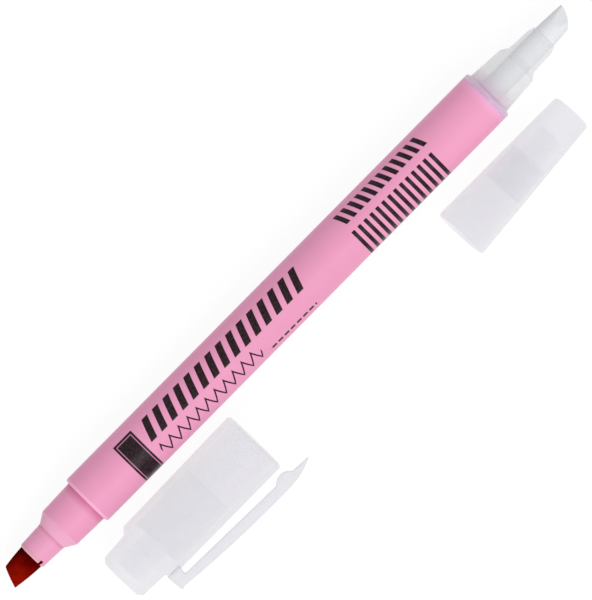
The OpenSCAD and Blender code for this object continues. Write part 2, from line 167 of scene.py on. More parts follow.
def turned(corners, closed, around, shape):
    """Points, quads, marks and end faces of a turned solid: point = (x, r cos angle, r sin angle) for every profile
    point and angle, with the angle counted from +y. shape(x, angle) may give new x values first. The profile runs
    towards +x outside and back inside, so the inner mark is 1 where it runs towards -x, 0 where it runs towards +x, and
    on a step between the two it goes evenly from one to the other."""
    profile, mark = rounded(corners, closed)
    angle = np.arange(around) * (2 * math.pi / around)
    x = np.repeat(profile[:, :1], around, 1)
    r = np.repeat(profile[:, 1:], around, 1)
    if not closed:
        r[[0, -1]] = POLE_MM
    if shape is not None:
        x = shape(x, angle[None, :])
    points = np.stack([x, r * np.cos(angle), r * np.sin(angle)], -1).reshape(-1, 3)
    step = np.gradient(profile, axis=0)
    run = step[:, 0] / (np.abs(step).sum(1) + 1e-9)
    firm = np.flatnonzero(np.abs(run) > 0.5)
    inner = np.interp(np.arange(len(run)), firm, (run[firm] < 0).astype(float))
    marks = {"edge": np.repeat(mark, around), "inner": np.repeat(inner, around)}
    ends = [] if closed else end_rings(len(profile), around)
    return points, face_grid(len(profile), around, closed), marks, ends


# %% [markdown]
# Blender takes the arrays as they are. The object stays at the origin and the place goes into the mesh, so that a
# pattern on Object coordinates sits still on every piece. The ring at an open end of a surface gets one face, which
# closes the pole, and normals are worked out once so that every face looks outwards.

# %% Making a Blender piece from arrays
def piece(name, axis, points, quads, marks, ends):
    """A new mesh object: points in mm through the axis matrix, in metres, quads plus one face for each ring in ends."""
    place = np.array(axis)
    world = (points @ place[:3, :3].T + place[:3, 3]) * MM
    faces = quads.tolist() + [list(ring) for ring in ends]
    mesh = bpy.data.meshes.new(name)
    mesh.from_pydata(world.tolist(), [], faces)
    mesh.validate()
    for label, values in marks.items():
        attribute = mesh.attributes.new(label, "FLOAT", "POINT")
        attribute.data.foreach_set("value", values.astype(np.float32))
    mesh.polygons.foreach_set("use_smooth", np.ones(len(mesh.polygons), bool))
    obj = bpy.data.objects.new(name, mesh)
    bpy.context.scene.collection.objects.link(obj)
    bm = bmesh.new()
    bm.from_mesh(mesh)
    bmesh.ops.recalc_face_normals(bm, faces=bm.faces)
    bm.to_mesh(mesh)
    bm.free()
    print(name, "has", len(mesh.vertices), "points and", len(mesh.polygons), "faces")
    return obj


def turned_piece(name, corners, axis, closed=True, around=160, shape=None):
    """A turned solid as a Blender piece."""
    return piece(name, axis, *turned(corners, closed, around, shape))


# %% [markdown]
# The photograph looks straight down, with the pen lying at 45 degrees across the picture. The longer side of the frame
# shows 103 mm of table at the height of the pen's axis. The closed ends of both caps are seen as straight lines, so
# the camera stood far off: a very long lens from 1.5 m has almost no perspective.

# %% Camera
VIEW_MM, DISTANCE_MM, TURN = 103.25, 1500.0, math.radians(-45.35)
MIDDLE_X, MIDDLE_Y, SENSOR_MM = 0.603, 7.785, 36.0
camera_data = bpy.data.cameras.new("camera")
camera_data.sensor_width = SENSOR_MM
camera_data.lens = SENSOR_MM * DISTANCE_MM / VIEW_MM
camera_data.clip_start, camera_data.clip_end = 0.01, 10.0
camera = bpy.data.objects.new("camera", camera_data)
camera.location = (MIDDLE_X * MM, MIDDLE_Y * MM, (DISTANCE_MM + PEN_Z) * MM)
camera.rotation_euler = (0, 0, TURN)
bpy.context.scene.collection.objects.link(camera)
bpy.context.scene.camera = camera
print("lens", round(camera_data.lens, 1), "mm")

# %% [markdown]
# The light is that of a white tent: nearly even from all sides, and a little stronger from the side of the caps and of
# the ink end, which leaves the far flank of the barrel darker and the nozzle's cone lighter. An even world gives the
# tent and one large soft lamp gives the stronger side. Together they add up to about 1 on a surface that faces them, so
# a colour renders as it is written.

# %% World and lamp
world = bpy.data.worlds.new("tent")
bpy.context.scene.world = world
world.use_nodes = True
wn, wl = world.node_tree.nodes, world.node_tree.links
wn.clear()
tent, backdrop = wn.new("ShaderNodeBackground"), wn.new("ShaderNodeBackground")
tent.inputs["Color"].default_value = (0.96, 0.98, 1.0, 1)
tent.inputs["Strength"].default_value = 0.67
backdrop.inputs["Color"].default_value = (1, 1, 1, 1)
paths, mix, out = wn.new("ShaderNodeLightPath"), wn.new("ShaderNodeMixShader"), wn.new("ShaderNodeOutputWorld")
wl.new(paths.outputs["Is Camera Ray"], mix.inputs["Fac"])
wl.new(tent.outputs[0], mix.inputs[1])
wl.new(backdrop.outputs[0], mix.inputs[2])
wl.new(mix.outputs[0], out.inputs["Surface"])


def soft_lamp(name, watts, size, place, target):
    """A square area lamp of the given size in metres that looks at target."""
    data = bpy.data.lights.new(name, "AREA")
    data.energy, data.size = watts, size
    lamp = bpy.data.objects.new(name, data)
    lamp.location = place
    lamp.rotation_euler = (Vector(target) - Vector(place)).to_track_quat("-Z", "Y").to_euler()
    bpy.context.scene.collection.objects.link(lamp)


soft_lamp("cap_side_lamp", watts=4.2, size=0.7, place=(-0.30, -0.54, 0.80), target=(0, 0, 0))
print("tent strength", tent.inputs["Strength"].default_value)

# %% [markdown]
# Materials are built from small node helpers. Each makes one kind of node and takes numbers or other nodes' outputs,
# and two more start a material with its Principled shader and a node group. A group holds an effect that several
# finishes share, and gives out only masks, tones and heights, while the shader itself stays in each material.

# %% Node helpers
SHEEN_ROUGHNESS = 0.5


def feed(links, socket, value):
    """Gives a socket its value, which is a number, a colour or another node's output."""
    if isinstance(value, (int, float)):
        socket.default_value = value
    elif isinstance(value, tuple):
        socket.default_value = (*value, 1)
    else:
        links.new(value, socket)


def maths(nodes, links, operation, *values, clamp=False):
    """A Math node; each value is a number or an output. Returns its output."""
    node = nodes.new("ShaderNodeMath")
    node.operation, node.use_clamp = operation, clamp
    for socket, value in zip(node.inputs, values):
        feed(links, socket, value)
    return node.outputs[0]


def colour_mix(nodes, links, amount, low, high):
    """A Mix node for colours; the amount is an output, low and high are colours or outputs. Returns its colour."""
    node = nodes.new("ShaderNodeMix")
    node.data_type = "RGBA"
    for index, value in ((0, amount), (6, low), (7, high)):
        feed(links, node.inputs[index], value)
    return node.outputs[2]


def noise(nodes, links, vector, scale, detail=2.0):
    """A Noise node; the scale is a number or an output. Returns its value."""
    node = nodes.new("ShaderNodeTexNoise")
    node.inputs["Detail"].default_value = detail
    feed(links, node.inputs["Vector"], vector)
    feed(links, node.inputs["Scale"], scale)
    return node.outputs["Fac"]


def ramp(nodes, links, place, start, end, amount=1.0):
    """0 up to the start, amount from the end on, and straight in between; the end may be the smaller number."""
    part = maths(nodes, links, "DIVIDE", maths(nodes, links, "SUBTRACT", place, start), end - start, clamp=True)
    return maths(nodes, links, "MULTIPLY", part, amount)


def split(nodes, links, vector):
    """The x, y and z of a vector."""
    node = nodes.new("ShaderNodeSeparateXYZ")
    links.new(vector, node.inputs[0])
    return node.outputs


def new_group(name, inputs, outputs):
    """An empty shader node group with named sockets. inputs are (name, kind, default), outputs are (name, kind)."""
    group = bpy.data.node_groups.new(name, "ShaderNodeTree")
    for label, kind, default in inputs:
        socket = group.interface.new_socket(label, in_out="INPUT", socket_type="NodeSocket" + kind)
        if default is not None:
            socket.default_value = default
    for label, kind in outputs:
        group.interface.new_socket(label, in_out="OUTPUT", socket_type="NodeSocket" + kind)
    entry, leave = group.nodes.new("NodeGroupInput"), group.nodes.new("NodeGroupOutput")
    return group, group.nodes, group.links, entry.outputs, leave.inputs


def place_group(nodes, links, group, **values):
    """Puts a group into a material. A value is a number or an output; underscores in its name stand for spaces."""
    node = nodes.new("ShaderNodeGroup")
    node.node_tree = group
    for label, value in values.items():
        feed(links, node.inputs[label.replace("_", " ")], value)
    return node.outputs


def new_material(name, roughness, specular=0.5):
    """A material with its Principled shader, and the object's own coordinates."""
    mat = bpy.data.materials.new(name)
    mat.use_nodes = True
    nodes, links = mat.node_tree.nodes, mat.node_tree.links
    shader = nodes["Principled BSDF"]
    shader.inputs["Roughness"].default_value = roughness
    shader.inputs["Specular IOR Level"].default_value = specular
    coords = nodes.new("ShaderNodeTexCoord").outputs["Object"]
    return mat, nodes, links, shader, coords


def piece_mark(nodes, name):
    """The value of a mark that the pieces carry on their points."""
    node = nodes.new("ShaderNodeAttribute")
    node.attribute_name = name
    return node.outputs["Fac"]


def bump_from(nodes, links, shader, height, strength, depth_mm):
    """A Bump node of the given strength and depth between a height and the shader's Normal."""
    bump = nodes.new("ShaderNodeBump")
    bump.inputs["Strength"].default_value = strength
    bump.inputs["Distance"].default_value = depth_mm * MM
    links.new(height, bump.inputs["Height"])
    links.new(bump.outputs[0], shader.inputs["Normal"])


print("node helpers are ready")

# %% [markdown]
# The table is plain white. Seen by the camera, straight, through a clear piece or in a gloss, it is mostly glow of its
# own, so that it comes out white, as in the photograph, yet still takes a faint shadow where a piece touches it. Every
# other ray sees an ordinary matt white surface, which throws light back up under the round pieces.

# %% Table
HALF_TABLE, TABLE_GLOW = 1.5, 0.90


def table():
    """A flat square at z = 0 with a matt white finish that glows for camera, glossy and transmission rays alone."""
    mesh = bpy.data.meshes.new("table")
    h = HALF_TABLE
    mesh.from_pydata([(-h, -h, 0), (h, -h, 0), (h, h, 0), (-h, h, 0)], [], [(0, 1, 2, 3)])
    obj = bpy.data.objects.new("table", mesh)
    bpy.context.scene.collection.objects.link(obj)
    mat, n, l, matt, _ = new_material("white_table", roughness=0.9, specular=0.0)
    matt.inputs["Emission Color"].default_value = (1, 1, 1, 1)
    ray = n.new("ShaderNodeLightPath").outputs
    shown = maths(n, l, "MAXIMUM", ray["Is Camera Ray"], ray["Is Transmission Ray"])
    shown = maths(n, l, "MAXIMUM", shown, ray["Is Glossy Ray"])
    l.new(colour_mix(n, l, shown, (0.66, 0.66, 0.66), (0.13, 0.13, 0.13)), matt.inputs["Base Color"])
    l.new(maths(n, l, "MULTIPLY", shown, TABLE_GLOW), matt.inputs["Emission Strength"])
    mesh.materials.append(mat)


table()
print("the table is", 2 * HALF_TABLE, "m across")

# %% [markdown]
# Three effects return in several finishes, so each is built once as a group. Moulded plastic has a very fine grain.
# Felt and fibre rods have strands that run along the pen. A painted highlight makes the outer edges, which the
# profiles above have marked, a little paler in patches.

# %% Groups for grain, fibres and painted edge highlights
def make_fine_grain():
    """Fine noise in two sizes: Tone = slow noise for the colour, Height = fast noise for the bump, and Rough = their
    mean, spread from Rough Low to Rough High."""
    given_sockets = [("Vector", "Vector", None), ("Scale", "Float", 3000.0),
                     ("Rough Low", "Float", 0.3), ("Rough High", "Float", 0.4)]
    group, n, l, given, out = new_group(
        "fine_grain", given_sockets, [("Tone", "Float"), ("Height", "Float"), ("Rough", "Float")])
    fast = noise(n, l, given["Vector"], given["Scale"], 3.0)
    slow = noise(n, l, given["Vector"], maths(n, l, "MULTIPLY", given["Scale"], 0.12))
    l.new(slow, out["Tone"])
    l.new(fast, out["Height"])
    span = maths(n, l, "SUBTRACT", given["Rough High"], given["Rough Low"])
    mean = maths(n, l, "MULTIPLY", maths(n, l, "ADD", fast, slow), 0.5)
    l.new(maths(n, l, "ADD", given["Rough Low"], maths(n, l, "MULTIPLY", span, mean)), out["Rough"])
    return group


def make_strands():
    """Noise stretched along the pen. Strands = long fine streaks, Pores = short specks, Height = both for the bump."""
    group, n, l, given, out = new_group(
        "strands", [("Vector", "Vector", None), ("Scale", "Float", 6000.0), ("Stretch", "Float", 0.08)],
        [("Strands", "Float"), ("Pores", "Float"), ("Height", "Float")])
    x, y, z = split(n, l, given["Vector"])
    joined = n.new("ShaderNodeCombineXYZ")
    for socket, value in zip(joined.inputs, (maths(n, l, "MULTIPLY", x, given["Stretch"]), y, z)):
        l.new(value, socket)
    streak = noise(n, l, joined.outputs[0], given["Scale"], 4.0)
    speck = noise(n, l, given["Vector"], maths(n, l, "MULTIPLY", given["Scale"], 0.8))
    pores = maths(n, l, "MULTIPLY", maths(n, l, "SUBTRACT", speck, 0.52), 5.0, clamp=True)
    l.new(streak, out["Strands"])
    l.new(pores, out["Pores"])
    l.new(maths(n, l, "SUBTRACT", streak, maths(n, l, "MULTIPLY", pores, 0.4)), out["Height"])
    return group


def make_edge_highlight():
    """Mask of a painted edge highlight = edge mark times a slow noise, so that the highlight comes and goes along the
    edge.
    """
    given_sockets = [("Vector", "Vector", None), ("Edge", "Float", 0.0), ("Amount", "Float", 0.5)]
    group, n, l, given, out = new_group("edge_highlight", given_sockets, [("Mask", "Float")])
    slow = noise(n, l, given["Vector"], 700.0)
    patchy = maths(n, l, "MULTIPLY", maths(n, l, "SUBTRACT", slow, 0.3), 2.2, clamp=True)
    l.new(maths(n, l, "MULTIPLY", maths(n, l, "MULTIPLY", given["Edge"], patchy), given["Amount"]), out["Mask"])
    return group


fine_grain, strands, edge_highlight = make_fine_grain(), make_strands(), make_edge_highlight()
print("groups:", [g.name for g in (fine_grain, strands, edge_highlight)])

# %% [markdown]
# The barrel carries dark printing. A print is a thin layer of ink, so it belongs in the material and not in the mesh.
# The group below answers one question for any point of the barrel: is it inside a block that runs from here to there
# along the pen, and from this line to that line round it? Blocks that lean and repeat make a hatched band.

# %% Group for one printed block
def make_print_block():
    """Mask = soft step at each of four borders, times a row of bars: the share Duty of each Pitch. The place along the
    pen is Along + Lean x Around, so a leaning block has slanted ends and whole bars. A Pitch of 0 means no bars."""
    sockets = [("Along", 0.0), ("Around", 0.0), ("From", 0.0), ("To", 1.0), ("Low", 0.0), ("High", 1.0),
               ("Pitch", 0.0), ("Duty", 0.5), ("Lean", 0.0), ("Soft", 0.05)]
    group, n, l, given, out = new_group("print_block", [(s, "Float", v) for s, v in sockets], [("Mask", "Float")])

    def step(a, b):
        return maths(n, l, "ADD", maths(n, l, "DIVIDE", maths(n, l, "SUBTRACT", a, b), given["Soft"]), 0.5, clamp=True)

    place = maths(n, l, "ADD", given["Along"], maths(n, l, "MULTIPLY", given["Lean"], given["Around"]))
    inside = maths(n, l, "MULTIPLY", step(place, given["From"]), step(given["To"], place))
    between = maths(n, l, "MULTIPLY", step(given["Around"], given["Low"]), step(given["High"], given["Around"]))
    inside = maths(n, l, "MULTIPLY", inside, between)
    pitch = maths(n, l, "MAXIMUM", given["Pitch"], 0.001)
    wave = maths(n, l, "PINGPONG", place, maths(n, l, "MULTIPLY", pitch, 0.5))
    bars = step(maths(n, l, "MULTIPLY", maths(n, l, "MULTIPLY", pitch, 0.5), given["Duty"]), wave)
    plain = maths(n, l, "LESS_THAN", given["Pitch"], 0.0005)
    l.new(maths(n, l, "MULTIPLY", inside, maths(n, l, "MAXIMUM", bars, plain)), out["Mask"])
    return group


print_block = make_print_block()
BARREL_R = 5.0


def around_mm(offset):
    """Distance round the barrel in mm of a line that lies offset mm beside the middle as seen from above."""
    return BARREL_R * math.asin(max(-1.0, min(1.0, offset / BARREL_R)))


print("a line 3 mm beside the middle lies", round(around_mm(3.0), 2), "mm round the barrel")

# %% [markdown]
# The barrel is one opaque satin moulding in pink, with the ink nib's nozzle in the same piece. Its pink isn't the same
# all along. It is brighter towards the eraser end and turns lilac next to the holder. Light and shade are painted into
# it as well: a painted highlight on its outer edges, on the thin cone where it faces the lamp, on the shoulder's edge
# and on the mouth's rim, and painted shade in the crease at the shoulder's foot and where the tip tube leaves the cone.
# Round the mouth and in its air slots the ink has stained it. Zones along the pen, each a ramp and a colour, lay these
# tones over one another.
#
# Ink sits on top in a plain decoration: a dark panel near the ink end, a wide and a narrow hatched band, a thin zigzag
# line, a row of dashes and a ladder of plain rules. Each one is a few values for the same group.

# %% Barrel plastic with its decoration
INK = (0.006, 0.003, 0.004)
STAIN_HALF_W, STAIN_X = 0.62, -61.98


def barrel_plastic():
    """Pink Principled plastic with a tone for each zone along the pen, and ink where a printed block is set."""
    mat, n, l, shader, coords = new_material("barrel_pink_satin", roughness=0.36, specular=0.18)
    x, y, z = split(n, l, coords)
    along = maths(n, l, "MULTIPLY", x, 1 / MM)
    side, up = maths(n, l, "SUBTRACT", PEN_Y * MM, y), maths(n, l, "SUBTRACT", z, PEN_Z * MM)
    around = maths(n, l, "MULTIPLY", maths(n, l, "ARCTAN2", side, up), BARREL_R)

    def block(start, end, low, high, pitch=0.0, duty=0.5, lean=0.0, soft=0.08):
        return place_group(n, l, print_block, Along=along, Around=around, From=start, To=end, Low=around_mm(low),
                           High=around_mm(high), Pitch=pitch, Duty=duty, Lean=lean, Soft=soft)["Mask"]

    def over(*masks):
        result = masks[0]
        for mask in masks[1:]:
            result = maths(n, l, "MAXIMUM", result, mask)
        return result

    inset = maths(n, l, "SUBTRACT", block(-39.2, -35.7, -2.7, 4.86), block(-39.05, -35.85, -2.55, 4.83), clamp=True)
    kept = maths(n, l, "SUBTRACT", 1.0, maths(n, l, "MULTIPLY", inset, 0.75))
    panel = maths(n, l, "MULTIPLY", block(-39.6, -35.3, -3.1, 4.98), kept)
    band = block(-34.0, 3.4, -3.05, 0.91, pitch=2.55, duty=0.55, lean=0.35)
    tooth = maths(n, l, "MULTIPLY", maths(n, l, "PINGPONG", maths(n, l, "ADD", along, 40.0), 1.1), 2.3)
    apart = maths(n, l, "ABSOLUTE", maths(n, l, "SUBTRACT", maths(n, l, "SUBTRACT", around, around_mm(2.2)), tooth))
    zigzag = maths(n, l, "MULTIPLY", maths(n, l, "SUBTRACT", 0.42, apart), 8.0, clamp=True)
    zigzag = maths(n, l, "MULTIPLY", zigzag, block(-33.9, -9.7, 1.9, 4.97))
    dashes = block(-8.5, 2.8, 4.1, 4.4, pitch=1.5, duty=0.7)
    small_band = block(16.4, 36.3, -3.97, -1.55, pitch=1.7, duty=0.55, lean=-0.35)
    rules = block(15.4, 35.0, 0.0, 4.95, pitch=1.44, duty=0.5, soft=0.06)
    ink = over(panel, band, zigzag, dashes, small_band, rules)

    grain = place_group(n, l, fine_grain, Vector=coords, Scale=2600.0, Rough_Low=0.33, Rough_High=0.43)
    speckle = maths(n, l, "ADD", maths(n, l, "MULTIPLY", grain["Height"], 0.12), 0.92, clamp=True)
    ink = maths(n, l, "MULTIPLY", ink, speckle)
    # A painted highlight along the outer edges, in patches.
    highlight_mask = place_group(n, l, edge_highlight, Vector=coords, Edge=piece_mark(n, "edge"), Amount=0.45)["Mask"]

    def zone(start, end, most=1.0):
        return ramp(n, l, along, start, end, most)

    def before(place):
        return maths(n, l, "LESS_THAN", along, place)

    # Painted light: the cone is paler where it faces the lamp, the rim and the shoulder's edge get a painted highlight,
    # and the creases at the shoulder's foot and at the cone's neck get painted shade.
    cone_light = maths(n, l, "SUBTRACT", zone(-55.4, -56.3, 0.75), zone(-57.6, -58.1, 0.50))
    seep = maths(n, l, "MULTIPLY", zone(-61.85, -62.25, 0.30), zone(-62.75, -62.55))
    rim_highlight = maths(n, l, "MULTIPLY", zone(-62.5, -62.65, 1.3), grain["Height"])
    shoulder_highlight = maths(n, l, "MULTIPLY", zone(-49.32, -49.2), zone(-48.6, -48.95))
    foot_shade = maths(n, l, "MULTIPLY", zone(-50.9, -49.5, 0.60), before(-49.30))
    neck_shade = maths(n, l, "MULTIPLY", zone(-58.5, -57.85, 0.38), before(-57.75))
    neck_shade = maths(n, l, "ADD", neck_shade, zone(-57.7, -57.9, 0.04))
    turned_by = maths(n, l, "ABSOLUTE", maths(n, l, "ADD", around, BARREL_R * math.pi / 4))
    beside = maths(n, l, "ABSOLUTE", maths(n, l, "SUBTRACT", turned_by, BARREL_R * math.pi / 2))
    stain = maths(n, l, "MULTIPLY", maths(n, l, "LESS_THAN", beside, STAIN_HALF_W), before(STAIN_X))
    tones = (
        (highlight_mask, (0.93, 0.62, 0.73)), (zone(5.0, 45.0, 0.9), (0.96, 0.385, 0.59)), (cone_light, (0.91, 0.455, 0.625)),
        (zone(46.3, 48.1, 0.7), (0.95, 0.50, 0.76)), (seep, (0.60, 0.33, 0.30)), (rim_highlight, (0.95, 0.62, 0.56)),
        (shoulder_highlight, (1.0, 0.48, 0.70)), (maths(n, l, "ADD", foot_shade, neck_shade), (0.55, 0.10, 0.22)),
        (stain, (0.13, 0.003, 0.004)))
    pink = colour_mix(n, l, grain["Tone"], (0.872, 0.343, 0.535), (0.922, 0.374, 0.574))
    for amount, colour in tones:
        pink = colour_mix(n, l, amount, pink, colour)
    l.new(colour_mix(n, l, ink, pink, INK), shader.inputs["Base Color"])
    l.new(maths(n, l, "SUBTRACT", grain["Rough"], maths(n, l, "MULTIPLY", ink, 0.08)), shader.inputs["Roughness"])
    height = maths(n, l, "ADD", grain["Height"], maths(n, l, "MULTIPLY", ink, 0.5))
    bump_from(n, l, shader, height, strength=0.12, depth_mm=0.03)
    return mat


barrel_pink_satin = barrel_plastic()
print("barrel material has", len(barrel_pink_satin.node_tree.nodes), "nodes")

# %% [markdown]
# The barrel itself is a turned tube. Its nozzle steps down to the small mouth that holds the nib, and two slots in the
# rim of that mouth let air in as the ink goes out. The slots are made while the profile is turned: inside two narrow
# angles, every point in front of the slot's floor moves back to it.

# %% Barrel and nozzle
TUBE_LEN, MOUTH_R, SLOT_DEPTH, SLOT_HALF_W = 13.37, 2.5, 0.75, 0.275


def air_slots(x, angle):
    """Within half a slot's width of 135 and 315 degrees, x = the slot's floor wherever the point lies before it."""
    floor, half_angle = SLOT_DEPTH - TUBE_LEN, SLOT_HALF_W / MOUTH_R
    for centre in (math.radians(135), math.radians(315)):
        away = np.abs((angle - centre + math.pi) % (2 * math.pi) - math.pi)
        x = np.where((away < half_angle) & (x < floor), floor, x)
    return x


barrel_profile = [
    (-TUBE_LEN, 2.55, 0.05), (-13.07, 2.70, 0.12), (-12.59, 2.7206, 0), (-12.4, 2.7288, 0), (-8.40, 2.90, 0.35),
    (-6.47, 4.10, 0.30), (0.12, 4.30, 0.10), (0.12, 4.75, 0.03), (0.35, BARREL_R, 0.20), (97.5, BARREL_R, 0.06),
    (97.5, 4.10, 0.03), (0.9, 4.10, 0.10), (0.9, 3.30, 0.10), (-6.04, 3.30, 0.10), (-6.04, 2.40, 0.05),
    (-TUBE_LEN, 2.40, 0.04)]
barrel = turned_piece("barrel_body", barrel_profile, pen_axis, around=256, shape=air_slots)
barrel.data.materials.append(barrel_pink_satin)
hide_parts("barrel")
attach(barrel, "pen")

# %% [markdown]
# The caps and the nib holder are moulded in a see-through plastic. Each real wall is modelled on both sides, and each
# surface lets part of the light straight through. At the sides of a cap the eye looks through the outer wall alone, and
# in the middle through the inner one too, so the sides come out paler. A soft sheen stands for light that scatters in
# frosted plastic at a flat angle. An inner wall fades out where it is seen at a flat angle, because frosted plastic
# shows what lies behind it without a hard outline. The outer edges carry a painted highlight that also makes them a
# little denser. The clip is solid plastic with nothing behind its skin, so it has a denser finish of its own. The
# collar of the holder sits against the pink barrel, and the pink light that the barrel passes into it is painted there
# as a lilac-pink tint, with some more alpha. Where a sleeve sits inside a cap, a ray crosses eight surfaces or more, so
# it is allowed more see-through steps than the usual eight.

# %% See-through plastics
EDGE_DENSER = 0.4


def see_through(name, low, high, outside, inside, roughness, coat=0.0, sheen=0.0, line=0.3, tint=None):
    """Principled plastic whose alpha is outside on outer walls, and inside x cos squared of the angle of view on inner
    ones. The colour drifts between low and high. line is how strongly the outer edges turn pale and denser: a painted
    highlight. tint = (colour, x from, x to, dense) fades a colour in along the pen, in mm, and adds to the alpha there;
    on the holder's collar that colour is painted pink light from the barrel."""
    mat, n, l, shader, coords = new_material(name, roughness)
    shader.inputs["Coat Weight"].default_value = coat
    shader.inputs["Sheen Weight"].default_value = sheen
    shader.inputs["Sheen Roughness"].default_value = SHEEN_ROUGHNESS
    grain = place_group(
        n, l, fine_grain, Vector=coords, Scale=2200.0, Rough_Low=roughness - 0.05, Rough_High=roughness + 0.05)
    # Painted highlight: the outer edges turn pale and a little denser, in patches.
    highlight_mask = place_group(n, l, edge_highlight, Vector=coords, Edge=piece_mark(n, "edge"), Amount=line)["Mask"]
    tone = colour_mix(n, l, grain["Tone"], low, high)
    facing = maths(n, l, "SUBTRACT", 1.0, n.new("ShaderNodeLayerWeight").outputs["Facing"])
    thin = maths(n, l, "MULTIPLY", maths(n, l, "MULTIPLY", facing, facing), inside)
    change = maths(n, l, "MULTIPLY", piece_mark(n, "inner"), maths(n, l, "SUBTRACT", thin, outside))
    wall = maths(n, l, "ADD", maths(n, l, "ADD", outside, change), maths(n, l, "MULTIPLY", highlight_mask, EDGE_DENSER))
    # Painted light: the tint stands for pink light that the barrel passes into the collar.
    if tint is not None:
        colour, start, end, dense = tint
        near = ramp(n, l, split(n, l, coords)[0], start * MM, end * MM)
        tone = colour_mix(n, l, near, tone, colour)
        wall = maths(n, l, "ADD", wall, maths(n, l, "MULTIPLY", near, dense), clamp=True)
    l.new(colour_mix(n, l, highlight_mask, tone, (0.97, 0.97, 0.99)), shader.inputs["Base Color"])
    l.new(wall, shader.inputs["Alpha"])
    l.new(grain["Rough"], shader.inputs["Roughness"])
    bump_from(n, l, shader, grain["Height"], strength=0.10, depth_mm=0.03)
    return mat


frosted_cap = see_through(
    "frosted_cap", (0.69, 0.67, 0.75), (0.76, 0.74, 0.82), outside=0.26, inside=0.14, roughness=0.42, sheen=1.0,
    line=0.10)
frosted_clip = see_through(
    "frosted_clip", (0.73, 0.72, 0.78), (0.80, 0.79, 0.85), outside=0.38, inside=0.38, roughness=0.42, sheen=0.5)
frosted_seal = see_through(
    "frosted_seal", (0.60, 0.60, 0.66), (0.68, 0.68, 0.74), outside=0.03, inside=0.02, roughness=0.42, line=0.1)
thick_seal = see_through(
    "thick_seal", (0.54, 0.54, 0.61), (0.62, 0.62, 0.69), outside=0.05, inside=0.05, roughness=0.42, line=0.1)
# Its tint is painted pink light from the barrel on the collar.
lilac_holder = see_through(
    "lilac_holder", (0.94, 0.93, 0.935), (0.98, 0.97, 0.975), outside=0.42, inside=0.10, roughness=0.24, coat=0.2,
    sheen=1.0, line=0.12, tint=((0.86, 0.545, 0.79), 51.8, 48.2, 0.33))
bpy.context.scene.cycles.transparent_max_bounces = 32
print("see-through finishes:", [m.name for m in (frosted_cap, frosted_clip, frosted_seal, thick_seal, lilac_holder)])

# %% [markdown]
# The nib holder plugs into the eraser end of the barrel. Outside it is a thin collar, a wide section that the small cap
# slides over, and a narrow section that guides the nib. It is a thin-walled turned tube, so one closed profile gives
# both its outside and its bore.

# %% Nib holder
GUIDE_END = 112.24
holder_profile = [
    (91.5, 3.68, 0.1), (92.1, 4.08, 0.2), (97.5, 4.08, 0.04), (97.5, 5.00, 0.05), (98.23, 5.00, 0.12),
    (98.53, 4.70, 0.12), (98.53, 4.335, 0.10), (105.34, 3.88, 0.25), (106.72, 2.975, 0.25), (110.86, 2.81, 0.3),
    (GUIDE_END, 2.45, 0.10), (GUIDE_END, 2.23, 0.04), (105.34, 2.23, 0.10), (104.24, 3.15, 0.15), (91.5, 3.15, 0.05)]
holder = turned_piece("nib_holder_tube", holder_profile, pen_axis)
holder.data.materials.append(lilac_holder)
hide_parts("nib_holder")
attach(holder, "pen")

# %% [markdown]
# Both nibs are rods of pressed fibre, ground to a wedge and cut off at a slant. The slanted rubbing edge is slightly
# bowed. The surface is a tube whose rings lean more and more towards the cut, and whose top and bottom are held under
# two wedge planes. A soft minimum instead of a hard one leaves the small radius that grinding leaves on felt.

# %% Shape of a chisel nib
TAIL_R, TAIL_ROUND, STEP_ROUND = 1.5, 0.4, 0.3
RIM_MM, WEDGE_SOFT_MM, FLARE = 0.10, 0.22, 1.03


def soft_min(a, b, k):
    """The smaller of a and b, with the corner between them rounded over a width k."""
    return np.minimum(a, b) - np.maximum(k - np.abs(a - b), 0) ** 2 / (4 * k)


